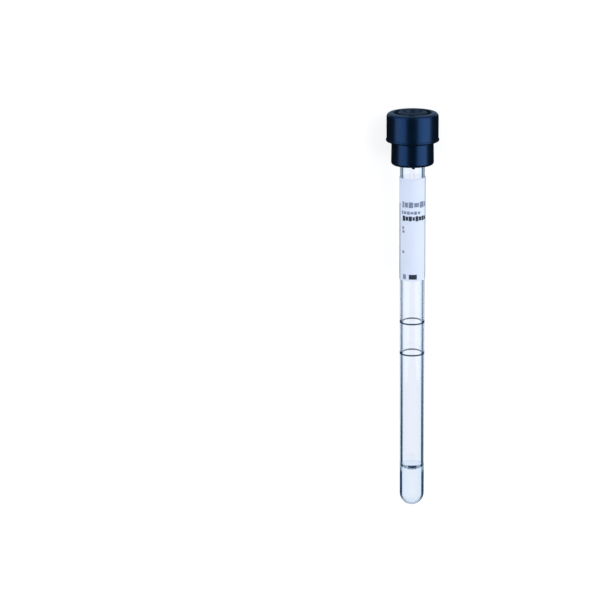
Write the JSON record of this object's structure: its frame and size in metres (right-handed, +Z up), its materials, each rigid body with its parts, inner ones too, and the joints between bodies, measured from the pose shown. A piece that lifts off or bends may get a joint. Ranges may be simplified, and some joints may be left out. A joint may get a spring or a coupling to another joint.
{
  "type": "blood collection tube",
  "caption": "Slim round-bottomed glass blood collection tube with a stepped black safety cap over a rubber stopper, paper label, fill lines and citrate solution, lying on its side",
  "frame": {"origin": "middle of the footprint of the lying tube, on the plane it lies on", "axes": "+X from the round end of the glass towards the cap (the tube's axis rises towards the cap by the rest angle), +Z up from the plane it lies on, +Y across"},
  "size_m": [0.1334, 0.0172, 0.0172],
  "materials": {
    "glass": "clear borosilicate glass, fire-polished",
    "solution": "clear watery solution",
    "enamel": "fired blue enamel line",
    "label_paper": "coated white paper, faintly blue, with plain dark bars",
    "cap_plastic": "glossy moulded black plastic",
    "stopper_rubber": "satin black butyl rubber"
  },
  "bodies": {
    "tube": {"glass_tube": "glass", "label": "label_paper", "citrate_solution": "solution", "fill_ring_lower": "enamel", "fill_ring_upper": "enamel"},
    "closure": {"safety_cap": "cap_plastic", "stopper": "stopper_rubber"}
  },
  "joints": [
    {"name": "closure_pull", "type": "slide", "parent": "tube", "child": "closure", "axis": [0.9993, 0, 0.038], "range_m": [0, 0.025]}
  ]
}
